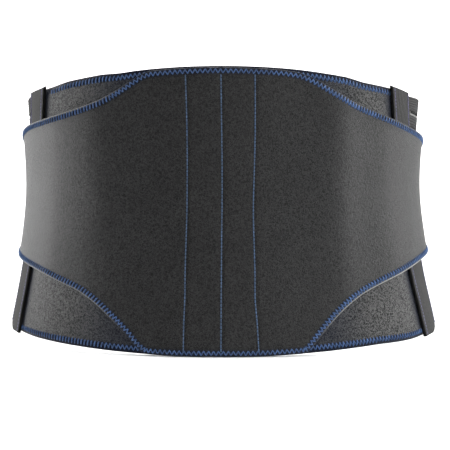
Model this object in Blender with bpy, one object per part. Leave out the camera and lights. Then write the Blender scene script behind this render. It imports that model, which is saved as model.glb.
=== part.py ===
"""Back support belt, closed as it is worn and standing on its lower edge.

Every piece is cut as a flat sheet, given its thickness, and then wrapped round the form of the waist.
A place on the belt is told by three numbers: the way round, from 0 at the middle of the back to 1 at
the middle of the front (negative on the left), the height, and the offset out from the waist's surface.
Metres, +Z up, +X to the right as the back is looked at, the back towards -Y.
"""

import math
from functools import lru_cache

import bmesh
import bpy
import numpy as np

# Form of the waist that the belt goes round
BELT_HEIGHT = 0.2090
WAIST_HEIGHT = 0.1250
HIP_HALF_WIDTH = 0.1797
WAIST_HALF_WIDTH = 0.1606
TOP_HALF_WIDTH = 0.1647
HIP_BACK_DEPTH = 0.1310
WAIST_BACK_DEPTH = 0.1165
TOP_BACK_DEPTH = 0.1230
HIP_FRONT_DEPTH = 0.1130
WAIST_FRONT_DEPTH = 0.1040
TOP_FRONT_DEPTH = 0.1060
FLARE_POWER = 1.5

# Thickness of the layers, and the clearance between two that touch
PANEL_THICKNESS = 0.0026
ELASTIC_THICKNESS = 0.0015
STRIP_THICKNESS = 0.0015
HOOK_THICKNESS = 0.0010
LAYER_GAP = 0.0007

# Strip over the seam between the back panel and the elastic, measured from the middle of the back
STRIP_DISTANCE_TOP = 0.1440
STRIP_DISTANCE_BOTTOM = 0.1805
STRIP_WIDTH = 0.0250
STRIP_ON_PANEL = 0.0120
STRIP_OVERHANG = 0.0008
STRIP_CORNER = 0.0080

# Openwork elastic
SLOT_HEIGHT = 0.0029
SLOT_PITCH = 0.0128
TOP_SLOT_BELOW_EDGE = 0.0235
LOWEST_SLOT = 0.0160
SLOT_WINDOWS = 3
SLOT_TIE = 0.0040
SLOT_END_BAND = 0.0080

# Front, measured back from the middle of the front
FRONT_HEIGHT = 0.1600
FRONT_PANEL_LENGTH = 0.1480
FRONT_OVERLAP = 0.0450
FRONT_RAMP = 0.0260
FRONT_CLIMB_MARGIN = 0.0040  # the climb ends this far before the other panel's edge
FRONT_CORNER = 0.0200
FRONT_HOOK_WIDTH = 0.0350
FRONT_HOOK_INSET = 0.0060
FRONT_HOOK_MARGIN = 0.0220

# Outer panel and the straps that it narrows into
OUTER_EDGE_STEP = 0.0015
STRAP_END_DISTANCE = 0.0780
STRAP_CORNER = 0.0300
STRAP_HOOK_LENGTH = 0.0450
STRAP_HOOK_MARGIN = 0.0100

# Fineness of the sheets
COLUMN_STEP = 0.0120
CORNER_STEPS = 4
PANEL_ROWS = 12
HOOK_ROWS = 4

# Belt's own edges: the way round, the drop of the top edge and the rise of the lower edge,
# both as shares of the belt's height
BELT_EDGES = (
    # way_round, top_drop, bottom_rise
    (0.00, 0.000, 0.000),
    (0.05, 0.001, 0.000),
    (0.12, 0.006, 0.005),
    (0.22, 0.021, 0.016),
    (0.32, 0.034, 0.030),
    (0.42, 0.044, 0.046),
    (0.52, 0.048, 0.050),
    (0.66, 0.056, 0.046),
)

# Outer panel's edges: the way round and the two heights, as shares of the belt's height
OUTER_EDGES = (
    # way_round, top_edge, bottom_edge
    (0.118, 0.984, 0.0150),
    (0.130, 0.974, 0.0380),
    (0.142, 0.962, 0.0660),
    (0.155, 0.948, 0.0920),
    (0.175, 0.928, 0.1290),
    (0.200, 0.906, 0.1740),
    (0.230, 0.886, 0.2070),
    (0.270, 0.866, 0.2400),
    (0.330, 0.845, 0.2760),
    (0.400, 0.827, 0.3060),
    (0.480, 0.804, 0.3360),
    (0.620, 0.760, 0.3480),
    (0.850, 0.690, 0.3150),
)

# Colour, roughness and metallic value of each material
MATERIALS = {
    "neoprene": ((0.045, 0.045, 0.046), 0.85, 0.0),
    "elastic": ((0.085, 0.085, 0.087), 0.80, 0.0),
    "strip": ((0.065, 0.067, 0.070), 0.75, 0.0),
    "hook": ((0.020, 0.020, 0.021), 0.70, 0.0),
}


# Small helpers

def lerp(start, end, share):
    return start + (end - start) * share


def ease(share):
    """A smooth step from 0 to 1."""
    share = min(max(share, 0.0), 1.0)
    return share * share * (3 - 2 * share)


def read_table(rows, column, way):
    """The table's column at a way round, on a smooth curve through its rows."""
    ways = [row[0] for row in rows]
    values = [row[column] for row in rows]
    slopes = np.gradient(values, ways)
    way = min(max(abs(way), ways[0]), ways[-1])
    index = min(int(np.searchsorted(ways, way, side="right")) - 1, len(rows) - 2)
    span = ways[index + 1] - ways[index]
    t = (way - ways[index]) / span
    return (
        values[index] * (1 + 2 * t) * (1 - t) ** 2
        + slopes[index] * span * t * (1 - t) ** 2
        + values[index + 1] * t * t * (3 - 2 * t)
        - slopes[index + 1] * span * t * t * (1 - t)
    )


# Form of the waist

def flare(height, hip, waist, top):
    """A size of the form that is smallest at the waist and grows towards the hips and the top."""
    if height < WAIST_HEIGHT:
        share = (WAIST_HEIGHT - height) / WAIST_HEIGHT
        return waist + (hip - waist) * share**FLARE_POWER
    share = (height - WAIST_HEIGHT) / (BELT_HEIGHT - WAIST_HEIGHT)
    return waist + (top - waist) * share**FLARE_POWER


def oval(height):
    """Half width, depth of the back half and depth of the front half at a height."""
    return (
        flare(height, HIP_HALF_WIDTH, WAIST_HALF_WIDTH, TOP_HALF_WIDTH),
        flare(height, HIP_BACK_DEPTH, WAIST_BACK_DEPTH, TOP_BACK_DEPTH),
        flare(height, HIP_FRONT_DEPTH, WAIST_FRONT_DEPTH, TOP_FRONT_DEPTH),
    )


@lru_cache(maxsize=None)
def girths_at(share):
    """Angles from the middle of the back to the middle of the front, and the girth up to each."""
    half_width, back, front = oval(share * BELT_HEIGHT)
    angles = np.linspace(0, math.pi, 181)
    middles = (angles[1:] + angles[:-1]) / 2
    depths = np.where(middles < math.pi / 2, back, front)
    speed = np.hypot(half_width * np.cos(middles), depths * np.sin(middles))
    return angles, np.concatenate([[0], np.cumsum(speed * np.diff(angles))])


def girth_table(height):
    """The table at the nearest thousandth of the belt's height."""
    return girths_at(round(height / BELT_HEIGHT, 3))


def half_girth(height):
    return girth_table(height)[1][-1]


def on_form(way, height, offset):
    """The point at a way round, a height and an offset out from the form."""
    angles, girths = girth_table(height)
    share = abs(way) if abs(way) <= 1 else 2 - abs(way)
    angle = np.interp(share * girths[-1], girths, angles)
    if abs(way) > 1:
        angle = 2 * math.pi - angle
    angle = math.copysign(angle, way)
    half_width, back, front = oval(height)
    depth = back if math.cos(angle) > 0 else front
    normal = (math.sin(angle) / half_width, -math.cos(angle) / depth)
    length = math.hypot(*normal)
    return (
        half_width * math.sin(angle) + offset * normal[0] / length,
        -depth * math.cos(angle) + offset * normal[1] / length,
        height,
    )


# Lines on the belt

def from_back(distance, height):
    """The way round at a distance from the middle of the back."""
    return distance / half_girth(height)


def from_front(distance, height):
    """The way round at a distance back from the middle of the front, over 1 when it is past it."""
    return 1 - distance / half_girth(height)


def strip_edge(height, along=0.0):
    """The way round of the strip's inner edge, or of a line some way along from it."""
    inner = lerp(STRIP_DISTANCE_BOTTOM, STRIP_DISTANCE_TOP, height / BELT_HEIGHT)
    return from_back(inner + along, height)


def belt_top(way):
    """Height of the belt's top edge: the back panel's and elastic's, then down to the front's."""
    last = BELT_EDGES[-1][0]
    height = BELT_HEIGHT * (1 - read_table(BELT_EDGES, 1, way))
    return lerp(height, FRONT_HEIGHT, ease((front_share(way) - last) / (0.93 - last)))


def belt_bottom(way):
    """Height of the belt's lower edge, which comes down to the floor again at the front."""
    last = BELT_EDGES[-1][0]
    height = BELT_HEIGHT * max(read_table(BELT_EDGES, 2, way), 0.0)
    return height * (1 - ease((front_share(way) - last) / (0.83 - last)))


def front_share(way):
    """The way round counted back again past the middle of the front."""
    return abs(way) if abs(way) <= 1 else 2 - abs(way)


def outer_top(way):
    """Height of the outer panel's top edge, which keeps a step inside the belt's own edge."""
    edge = belt_top(way) - OUTER_EDGE_STEP
    if abs(way) < OUTER_EDGES[0][0]:
        return edge
    return min(edge, BELT_HEIGHT * read_table(OUTER_EDGES, 1, way))


def outer_bottom(way):
    edge = belt_bottom(way) + OUTER_EDGE_STEP
    if abs(way) < OUTER_EDGES[0][0]:
        return edge
    return max(edge, BELT_HEIGHT * read_table(OUTER_EDGES, 2, way))


# Layers: how far out each one's inner face lies

OVER_PANEL = PANEL_THICKNESS + LAYER_GAP
OVER_STRIP = OVER_PANEL + STRIP_THICKNESS + LAYER_GAP
OVER_HOOK = OVER_PANEL + HOOK_THICKNESS + LAYER_GAP


def outer_offset(way):
    """The outer panel lies on the back panel, climbs over the strip, and comes down on its hook pad."""
    climb_end = 0.97 * from_back(STRIP_DISTANCE_TOP, BELT_HEIGHT)
    climb = ease((abs(way) - 0.72 * climb_end) / (0.28 * climb_end))
    hook_start = from_front(STRAP_END_DISTANCE + STRAP_HOOK_LENGTH, WAIST_HEIGHT)
    descent = ease((abs(way) - 0.55) / (0.95 * hook_start - 0.55))
    return lerp(lerp(OVER_PANEL, OVER_STRIP, climb), OVER_HOOK, descent)


def right_front_offset(way):
    """The right front end climbs over the left one and the hook pad that joins them."""
    top = from_front(FRONT_OVERLAP + FRONT_CLIMB_MARGIN, WAIST_HEIGHT)
    start = from_front(FRONT_OVERLAP + FRONT_RAMP, WAIST_HEIGHT)
    return OVER_HOOK * ease((way - start) / (top - start))


# Building

def make_material(name):
    colour, roughness, metallic = MATERIALS[name]
    material = bpy.data.materials.new(name)
    material.use_nodes = True
    shader = material.node_tree.nodes["Principled BSDF"]
    shader.inputs["Base Color"].default_value = (*colour, 1)
    shader.inputs["Roughness"].default_value = roughness
    shader.inputs["Metallic"].default_value = metallic
    return material


def evenly(start, end, step):
    """Shares from start to end, about a step apart."""
    count = max(1, math.ceil(abs(end - start) / step - 1e-6))
    return [lerp(start, end, i / count) for i in range(count + 1)]


def rounded(height, other, radius, to_end):
    """An edge's height where the sheet's end is near, so that its corner is an arc."""
    if to_end >= radius:
        return height
    inward = radius - math.sqrt(max(radius**2 - (radius - to_end) ** 2, 0.0))
    return height - math.copysign(inward, height - other)


def corner_insets(radius):
    """How far in from the sheet's end the columns of a rounded corner lie, the end last."""
    turns = [math.pi / 2 * i / CORNER_STEPS for i in range(CORNER_STEPS)]
    return [radius * (1 - math.cos(turn)) for turn in reversed(turns)]


def make_sheet(name, material, columns, rows, place, thickness, cut_out=None):
    """A sheet of the given columns and rows, with its cut-outs, given a thickness and wrapped.

    place(column, row) says the way round, the height and the offset of the sheet's inner face.
    """
    mesh_data = bmesh.new()
    bmesh.ops.create_grid(
        mesh_data, x_segments=len(columns) - 1, y_segments=len(rows) - 1, size=0.5
    )
    cells = {}
    for face in mesh_data.faces:
        middle = face.calc_center_median()
        column = int((middle.x + 0.5) * (len(columns) - 1))
        row = int((middle.y + 0.5) * (len(rows) - 1))
        cells[face] = (column, row)
    if cut_out:
        holes = [face for face, cell in cells.items() if cut_out(*cell)]
        bmesh.ops.delete(mesh_data, geom=holes, context="FACES")
    inner = set(mesh_data.verts)
    bmesh.ops.extrude_face_region(mesh_data, geom=mesh_data.faces[:])
    for vertex in mesh_data.verts:
        column = round((vertex.co.x + 0.5) * (len(columns) - 1))
        row = round((vertex.co.y + 0.5) * (len(rows) - 1))
        way, height, offset = place(columns[column], rows[row])
        if vertex not in inner:
            offset += thickness(way) if callable(thickness) else thickness
        vertex.co = on_form(way, height, offset)
    bmesh.ops.recalc_face_normals(mesh_data, faces=mesh_data.faces[:])
    if mesh_data.calc_volume(signed=True) < 0:
        bmesh.ops.reverse_faces(mesh_data, faces=mesh_data.faces[:])
    mesh = bpy.data.meshes.new(name)
    mesh_data.to_mesh(mesh)
    mesh_data.free()
    mesh.materials.append(material)
    sheet = bpy.data.objects.new(name, mesh)
    belt.objects.link(sheet)
    return sheet


def panel_rows(count=PANEL_ROWS):
    return [i / count for i in range(count + 1)]


def make_back_panel():
    """The inner panel, from one seam to the other."""
    def place(column, row):
        top = belt_top(column * strip_edge(BELT_HEIGHT, STRIP_ON_PANEL))
        bottom = belt_bottom(column * strip_edge(0, STRIP_ON_PANEL))
        height = lerp(bottom, top, row)
        return column * strip_edge(height, STRIP_ON_PANEL), height, 0.0

    step = COLUMN_STEP / (STRIP_DISTANCE_BOTTOM + STRIP_ON_PANEL)
    columns = evenly(-1, 0, step)[:-1] + evenly(0, 1, step)
    make_sheet("back_panel", neoprene, columns, panel_rows(), place, PANEL_THICKNESS)


def make_outer_panel():
    """The outer panel and its two straps, which are one piece."""
    end = from_front(STRAP_END_DISTANCE, WAIST_HEIGHT)
    girth = half_girth(WAIST_HEIGHT)

    def place(column, row):
        to_end = (end - abs(column)) * girth
        top = outer_top(column)
        bottom = outer_bottom(column)
        height = lerp(
            rounded(bottom, top, STRAP_CORNER, to_end),
            rounded(top, bottom, STRAP_CORNER, to_end),
            row,
        )
        return column, height, outer_offset(column)

    corner = OUTER_EDGES[0][0]
    straight = end - STRAP_CORNER / girth
    fine = evenly(0, corner, COLUMN_STEP / girth)
    turn = evenly(corner, 0.23, 0.018)
    strap = evenly(0.23, straight, COLUMN_STEP / girth)
    side = fine[1:] + turn[1:] + strap[1:] + [end - inset / girth for inset in corner_insets(STRAP_CORNER)]
    columns = [-way for way in reversed(side)] + [0.0] + side
    make_sheet("outer_panel", neoprene, columns, panel_rows(), place, PANEL_THICKNESS)


def make_side_strip(name, side):
    """The folded strip that covers the seam, a little longer than it, with a rounded lower corner."""
    def place(along, row):
        top = belt_top(strip_edge(BELT_HEIGHT, along)) + STRIP_OVERHANG
        bottom = belt_bottom(strip_edge(0, along)) - STRIP_OVERHANG
        height = lerp(rounded(bottom, top, STRIP_CORNER, STRIP_WIDTH - along), top, row)
        return side * strip_edge(height, along), height, OVER_PANEL

    columns = evenly(0, STRIP_WIDTH - STRIP_CORNER, COLUMN_STEP)
    columns += [STRIP_WIDTH - inset for inset in corner_insets(STRIP_CORNER)]
    make_sheet(name, strip, columns, panel_rows(), place, STRIP_THICKNESS)


def make_elastic_side(name, side):
    """The ribbed elastic between the strip and the front, with rows of slots cut through."""
    seam = STRIP_ON_PANEL + LAYER_GAP
    length = (
        half_girth(WAIST_HEIGHT) * (1 - strip_edge(WAIST_HEIGHT))
        - seam
        - FRONT_PANEL_LENGTH
        - LAYER_GAP
    )
    first = (STRIP_WIDTH - seam) / length
    last = 1 - SLOT_END_BAND / length
    tie = SLOT_TIE / length
    window = (last - first - tie * (SLOT_WINDOWS - 1)) / SLOT_WINDOWS
    columns = evenly(0, first, COLUMN_STEP / length)
    windows = []
    for i in range(SLOT_WINDOWS):
        start = first + i * (window + tie)
        if i:
            columns.append(start)
        cuts = evenly(start, start + window, COLUMN_STEP / length)[1:]
        windows += range(len(columns) - 1, len(columns) - 1 + len(cuts))
        columns += cuts
    columns.append(1.0)

    top_slot = BELT_HEIGHT - TOP_SLOT_BELOW_EDGE
    count = int((top_slot - LOWEST_SLOT) / SLOT_PITCH) + 1
    levels = []
    for i in reversed(range(count)):
        middle = top_slot - i * SLOT_PITCH
        levels += [middle - SLOT_HEIGHT / 2, middle + SLOT_HEIGHT / 2]

    def place(column, row):
        def way_at(height):
            return lerp(
                strip_edge(height, seam),
                from_front(FRONT_PANEL_LENGTH + LAYER_GAP, height),
                column,
            )

        if row == 0:
            height = belt_bottom(way_at(0))
        elif row == len(levels) + 1:
            height = belt_top(way_at(BELT_HEIGHT))
        else:
            height = levels[row - 1]
        return side * way_at(height), height, PANEL_THICKNESS - ELASTIC_THICKNESS

    make_sheet(
        name,
        elastic,
        columns,
        list(range(len(levels) + 2)),
        place,
        ELASTIC_THICKNESS,
        cut_out=lambda column, row: column in windows and row % 2 == 1,
    )


def make_front_panel(name, side, offset):
    """A front end of the inner belt, from the elastic to past the middle of the front."""
    length = FRONT_PANEL_LENGTH + FRONT_OVERLAP
    columns = evenly(0, length - FRONT_CORNER, COLUMN_STEP)
    columns += [length - inset for inset in corner_insets(FRONT_CORNER)]

    def place(column, row):
        distance = FRONT_PANEL_LENGTH - column
        top = belt_top(from_front(distance, BELT_HEIGHT))
        bottom = belt_bottom(from_front(distance, 0))
        height = lerp(
            rounded(bottom, top, FRONT_CORNER, length - column),
            rounded(top, bottom, FRONT_CORNER, length - column),
            row,
        )
        way = from_front(distance, height)
        return side * way, height, offset(way)

    make_sheet(name, neoprene, columns, panel_rows(), place, PANEL_THICKNESS)


def make_front_hook():
    """The hook pad at the end of the right front panel, on the face of the left one."""
    start = FRONT_OVERLAP - FRONT_HOOK_INSET

    def place(column, row):
        height = lerp(FRONT_HOOK_MARGIN, FRONT_HEIGHT - FRONT_HOOK_MARGIN, row)
        return from_front(-column, height), height, OVER_PANEL

    columns = evenly(start - FRONT_HOOK_WIDTH, start, COLUMN_STEP)
    make_sheet("front_hook", hook, columns, panel_rows(HOOK_ROWS), place, HOOK_THICKNESS)


def make_strap_hook(name, side):
    """The hook pad under the end of a strap."""
    end = from_front(STRAP_END_DISTANCE + STRAP_HOOK_MARGIN, WAIST_HEIGHT)
    start = from_front(STRAP_END_DISTANCE + STRAP_HOOK_LENGTH, WAIST_HEIGHT)
    tall = STRAP_HOOK_MARGIN + STRAP_CORNER / 3

    def place(column, row):
        bottom = outer_bottom(end) + tall
        top = outer_top(end) - tall
        return side * column, lerp(bottom, top, row), OVER_PANEL

    columns = evenly(start, end, COLUMN_STEP / half_girth(WAIST_HEIGHT))
    make_sheet(name, hook, columns, panel_rows(HOOK_ROWS), place, HOOK_THICKNESS)


def centre_on_box():
    """Sets the belt over the origin, by the middle of its box."""
    corners = [vertex.co for sheet in belt.objects for vertex in sheet.data.vertices]
    middle = [(min(axis) + max(axis)) / 2 for axis in zip(*((c.x, c.y) for c in corners))]
    for sheet in belt.objects:
        sheet.location = (-middle[0], -middle[1], 0)


for startup_object in list(bpy.data.objects):
    bpy.data.objects.remove(startup_object)
belt = bpy.data.collections.new("back_support_belt")
bpy.context.scene.collection.children.link(belt)
neoprene, elastic, strip, hook = (make_material(name) for name in MATERIALS)

make_back_panel()
make_outer_panel()
for label, direction in (("left", -1), ("right", 1)):
    make_side_strip(f"side_strip_{label}", direction)
    make_elastic_side(f"elastic_side_{label}", direction)
    make_strap_hook(f"strap_hook_{label}", direction)
make_front_panel("front_panel_left", -1, lambda way: 0.0)
make_front_panel("front_panel_right", 1, right_front_offset)
make_front_hook()
centre_on_box()
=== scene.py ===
import math

import bmesh
import bpy
import mathutils
import numpy as np
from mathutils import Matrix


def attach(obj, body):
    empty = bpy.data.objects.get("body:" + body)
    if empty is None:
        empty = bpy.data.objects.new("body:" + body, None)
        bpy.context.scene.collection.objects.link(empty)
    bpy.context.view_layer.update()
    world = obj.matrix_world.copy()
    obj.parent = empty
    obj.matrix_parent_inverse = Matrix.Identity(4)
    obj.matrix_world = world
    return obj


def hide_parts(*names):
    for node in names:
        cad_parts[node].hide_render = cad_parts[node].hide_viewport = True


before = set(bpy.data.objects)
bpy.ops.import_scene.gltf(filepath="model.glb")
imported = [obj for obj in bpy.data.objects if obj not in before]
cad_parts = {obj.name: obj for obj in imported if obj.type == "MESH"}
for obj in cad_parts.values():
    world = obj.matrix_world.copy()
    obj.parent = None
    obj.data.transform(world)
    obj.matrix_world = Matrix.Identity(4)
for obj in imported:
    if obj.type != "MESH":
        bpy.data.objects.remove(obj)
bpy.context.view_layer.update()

# The waist's form. Each size is half width, depth of the back half, depth of the front half.
form = {
    "beltHeight": 0.2090,
    "waistHeight": 0.1250,
    "hipSize": (0.1797, 0.1310, 0.1130),
    "waistSize": (0.1606, 0.1165, 0.1040),
    "topSize": (0.1647, 0.1230, 0.1060),
    "flarePower": 1.5,
    "waistSoftness": 0.10,
    "forward": 0.00803,  # the form's widest line lies this far in front of the frame's origin
}

# Where the layers lie, out from the form
layers = {
    "panel": 0.0026,
    "elastic": 0.0015,
    "strip": 0.0015,
    "hook": 0.0010,
    "gap": 0.0007,
}
overPanel = layers["panel"] + layers["gap"]
overStrip = overPanel + layers["strip"] + layers["gap"]
overHook = overPanel + layers["hook"] + layers["gap"]


# -X is the left of the photograph
sides = ((-1, "Left"), (1, "Right"))


def lerp(start, end, share):
    return start + (end - start) * share


def ease(share):
    share = np.clip(share, 0.0, 1.0)
    return share * share * (3 - 2 * share)


def after(value, start, over):
    # 0 up to the start, then up to 1 over a stretch
    return ease((value - start) / over)


def bell(distance, width):
    return np.exp(-((distance / width) ** 2))


def curveThrough(rows, column, extend=False):
    # a smooth curve through a table's column, with straight ends where it is extended
    ways = np.array([row[0] for row in rows])
    values = np.array([row[column] for row in rows])
    slopes = np.gradient(values, ways)

    def at(way):
        way = np.abs(way)
        held = np.clip(way, ways[0], ways[-1])
        index = np.clip(np.searchsorted(ways, held, side="right") - 1, 0, len(ways) - 2)
        span = ways[index + 1] - ways[index]
        t = (held - ways[index]) / span
        value = (
            values[index] * (1 + 2 * t) * (1 - t) ** 2
            + slopes[index] * span * t * (1 - t) ** 2
            + values[index + 1] * t * t * (3 - 2 * t)
            - slopes[index + 1] * span * t * t * (1 - t)
        )
        if extend:
            value = value + np.minimum(way - ways[0], 0) * slopes[0]
        return value

    return at


def softMin(a, b, radius):
    return 0.5 * (a + b - np.sqrt((a - b) ** 2 + radius**2))


def softMax(a, b, radius):
    return 0.5 * (a + b + np.sqrt((a - b) ** 2 + radius**2))


def addObject(name, data):
    made = bpy.data.objects.new(name, data)
    bpy.context.scene.collection.objects.link(made)
    return made


# The form as a surface: the way round (0 at the middle of the back, 1 at the middle of the front),
# the height, and the offset out from it

def flare(share):
    soft, power = form["waistSoftness"] ** 2, form["flarePower"] / 2
    return ((share**2 + soft) ** power - soft**power) / ((1 + soft) ** power - soft**power)


def formSizes(height):
    waist = form["waistHeight"]
    below = flare(np.clip((waist - height) / waist, 0, None))
    above = flare(np.clip((height - waist) / (form["beltHeight"] - waist), 0, None))
    return [
        middle + (hip - middle) * below + (top - middle) * above
        for hip, middle, top in zip(form["hipSize"], form["waistSize"], form["topSize"])
    ]


# The closed belt bulges a little at its sides, the right one more at the bottom and the top
sideBulge = (
    # height, out on the left, out on the right
    (0.000, 0.0002, 0.0013),
    (0.020, 0.0007, 0.0014),
    (0.050, 0.0007, 0.0012),
    (0.084, 0.0006, 0.0012),
    (0.115, 0.0005, 0.0004),
    (0.140, 0.0004, 0.0001),
    (0.165, 0.0008, 0.0008),
    (0.209, 0.0010, 0.0017),
)
bulgeWays = {"grows": (0.22, 0.12), "fades": (0.58, 0.10)}  # where it starts, and over how much
bulges = [curveThrough(sideBulge, k) for k in (1, 2)]


def bulgeOut(ways, heights):
    around = np.abs(ways)
    share = after(around, *bulgeWays["grows"]) * (1 - after(around, *bulgeWays["fades"]))
    return share * np.where(ways < 0, bulges[0](heights), bulges[1](heights))


# The form is measured once, at these heights and shares of the half girth
formTable = {"low": -0.012, "high": 0.222, "heights": 79, "shares": 601, "angles": 901}
tableHeights = np.linspace(formTable["low"], formTable["high"], formTable["heights"])
tableShares = np.linspace(0, 1, formTable["shares"])


def measureForm():
    # the angle at each share of the half girth, and the half girth, height by height
    angles = np.linspace(0, math.pi, formTable["angles"])
    middles = (angles[1:] + angles[:-1]) / 2
    rows, girths = [], []
    for height in tableHeights:
        halfWidth, back, front = formSizes(height)
        depths = np.where(middles < math.pi / 2, back, front)
        steps = np.hypot(halfWidth * np.cos(middles), depths * np.sin(middles)) * np.diff(angles)
        girth = np.concatenate([[0], np.cumsum(steps)])
        rows.append(np.interp(tableShares * girth[-1], girth, angles))
        girths.append(girth[-1])
    return np.array(rows), np.array(girths)


angleTable, girthTable = measureForm()


def halfGirth(height):
    return np.interp(height, tableHeights, girthTable)


meanGirth = float(halfGirth(form["waistHeight"]))


def frontShare(way):
    # past the middle of the front, the way round counts back from it
    return np.where(np.abs(way) <= 1, np.abs(way), 2 - np.abs(way))


def wrap(ways, heights, offsets):
    ways, heights, offsets = np.broadcast_arrays(ways, heights, offsets)
    offsets = offsets + bulgeOut(ways, heights)
    shares = frontShare(ways)
    row = (heights - tableHeights[0]) / (tableHeights[1] - tableHeights[0])
    column = shares * (len(tableShares) - 1)
    row = np.clip(row, 0, len(tableHeights) - 1.001)
    column = np.clip(column, 0, len(tableShares) - 1.001)
    r, c = row.astype(int), column.astype(int)
    up, along = row - r, column - c
    angle = lerp(
        lerp(angleTable[r, c], angleTable[r, c + 1], along),
        lerp(angleTable[r + 1, c], angleTable[r + 1, c + 1], along),
        up,
    )
    angle = np.where(np.abs(ways) > 1, 2 * math.pi - angle, angle) * np.sign(ways)
    halfWidth, back, front = formSizes(heights)
    depth = np.where(np.cos(angle) > 0, back, front)
    outX, outY = np.sin(angle) / halfWidth, -np.cos(angle) / depth
    length = np.hypot(outX, outY)
    x = halfWidth * np.sin(angle) + offsets * outX / length
    y = -depth * np.cos(angle) + offsets * outY / length + form["forward"]
    return np.stack([x, y, heights], axis=-1)


def fromFront(distance, height):
    return 1 - distance / halfGirth(height)


# The belt's own edges, as in the part's source: way round, drop of the top, rise of the bottom
beltRows = (
    (0.00, 0.000, 0.000),
    (0.05, 0.001, 0.000),
    (0.12, 0.006, 0.005),
    (0.22, 0.021, 0.016),
    (0.32, 0.034, 0.030),
    (0.42, 0.044, 0.046),
    (0.52, 0.048, 0.050),
    (0.66, 0.056, 0.046),
)
topDrop, bottomRise = curveThrough(beltRows, 1), curveThrough(beltRows, 2)
front = {"height": 0.1600, "lastBackRow": 0.66, "lowAt": 0.93, "floorAt": 0.83}
# The two sides differ a little: side, drop of the edge, and the places along the belt where it starts,
# is full, begins to end and is gone
sideDrops = {
    "top": (
        (1, 0.0018, 0.092, 0.112, 0.172, 0.205),
        (1, 0.0012, 0.135, 0.165, 0.172, 0.205),
        (-1, -0.0013, 0.070, 0.090, 0.115, 0.140),
    ),
    "bottom": ((1, 0.0016, 0.105, 0.150, 0.190, 0.220),),
}


def sideDrop(way, edge):
    total = 0.0 * np.asarray(way)
    for side, drop, start, full, last, end in sideDrops[edge]:
        along = side * np.asarray(way) * meanGirth
        total = total + drop * after(along, start, full - start) * (1 - after(along, last, end - last))
    return total


def beltTop(way):
    height = form["beltHeight"] * (1 - topDrop(way)) - sideDrop(way, "top")
    reach = (frontShare(way) - front["lastBackRow"]) / (front["lowAt"] - front["lastBackRow"])
    return lerp(height, front["height"], ease(reach))


def beltBottom(way):
    height = form["beltHeight"] * np.maximum(bottomRise(way), 0) - sideDrop(way, "bottom")
    reach = (frontShare(way) - front["lastBackRow"]) / (front["floorAt"] - front["lastBackRow"])
    return height * (1 - ease(reach))


def rounding(radius, toEnd):
    # how far a round corner stands back, at a distance from its end
    near = np.clip(radius - toEnd, 0, radius)
    return radius - np.sqrt(np.clip(radius**2 - near**2, 0, None))


def roundOff(edge, other, radius, toEnd):
    return edge + np.sign(other - edge) * rounding(radius, toEnd)


def cornerTurns(radius, count):
    # places along a round corner, closest together at its end
    return radius * (1 - np.cos(np.linspace(0, math.pi / 2, count)))


# Materials

def newMaterial(name, look):
    material = bpy.data.materials.new(name)
    material.use_nodes = True
    shader = material.node_tree.nodes["Principled BSDF"]
    shader.inputs["Roughness"].default_value = look["rough"]
    shader.inputs["Sheen Weight"].default_value = look["sheen"]
    shader.inputs["Specular IOR Level"].default_value = look["gloss"]
    return material, material.node_tree, shader


def plug(tree, value, socket):
    if isinstance(value, bpy.types.NodeSocket):
        tree.links.new(value, socket)
    else:
        socket.default_value = value


def addNode(tree, kind, settings=(), **inputs):
    node = tree.nodes.new(kind)
    for key, value in dict(settings).items():
        setattr(node, key, value)
    for key, value in inputs.items():
        plug(tree, value, node.inputs[key.replace("_", " ")])
    return node


def objectPlace(tree):
    return addNode(tree, "ShaderNodeTexCoord").outputs["Object"]


def patternPlace(tree):
    return addNode(tree, "ShaderNodeUVMap", {"uv_map": "pattern"}).outputs["UV"]


def noise(tree, place, scale, detail, distortion=0.0):
    node = addNode(tree, "ShaderNodeTexNoise", Vector=place, Scale=scale, Detail=detail)
    node.inputs["Distortion"].default_value = distortion
    return node.outputs["Fac"]


def bands(tree, place, scale, distortion, detail, detailScale):
    node = addNode(
        tree,
        "ShaderNodeTexWave",
        {"wave_type": "BANDS", "bands_direction": "X"},
        Vector=place,
        Scale=scale,
        Distortion=distortion,
        Detail=detail,
        Detail_Scale=detailScale,
    )
    return node.outputs["Fac"]


def attribute(tree, name):
    return addNode(tree, "ShaderNodeAttribute", {"attribute_name": name}).outputs["Fac"]


def combine(tree, operation, *values):
    node = addNode(tree, "ShaderNodeMath", {"operation": operation})
    for value, socket in zip(values, node.inputs):
        plug(tree, value, socket)
    return node.outputs[0]


def mixColours(tree, share, first, second, blend="MIX"):
    node = addNode(tree, "ShaderNodeMix", {"data_type": "RGBA", "blend_type": blend})
    for index, value in ((0, share), (6, first), (7, second)):
        plug(tree, value, node.inputs[index])
    return node.outputs[2]


def mapRange(tree, value, low, high, newLow=0.0, newHigh=1.0):
    node = addNode(
        tree, "ShaderNodeMapRange", Value=value, From_Min=low, From_Max=high, To_Min=newLow, To_Max=newHigh
    )
    return node.outputs[0]


def dress(tree, shader, colour, height, strength, depth):
    # the colour, and a bump of this strength and depth
    tree.links.new(colour, shader.inputs["Base Color"])
    bump = addNode(tree, "ShaderNodeBump", Strength=strength, Distance=depth, Height=height)
    tree.links.new(bump.outputs[0], shader.inputs["Normal"])


def grey(level):
    return (level, level, level, 1)


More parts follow.
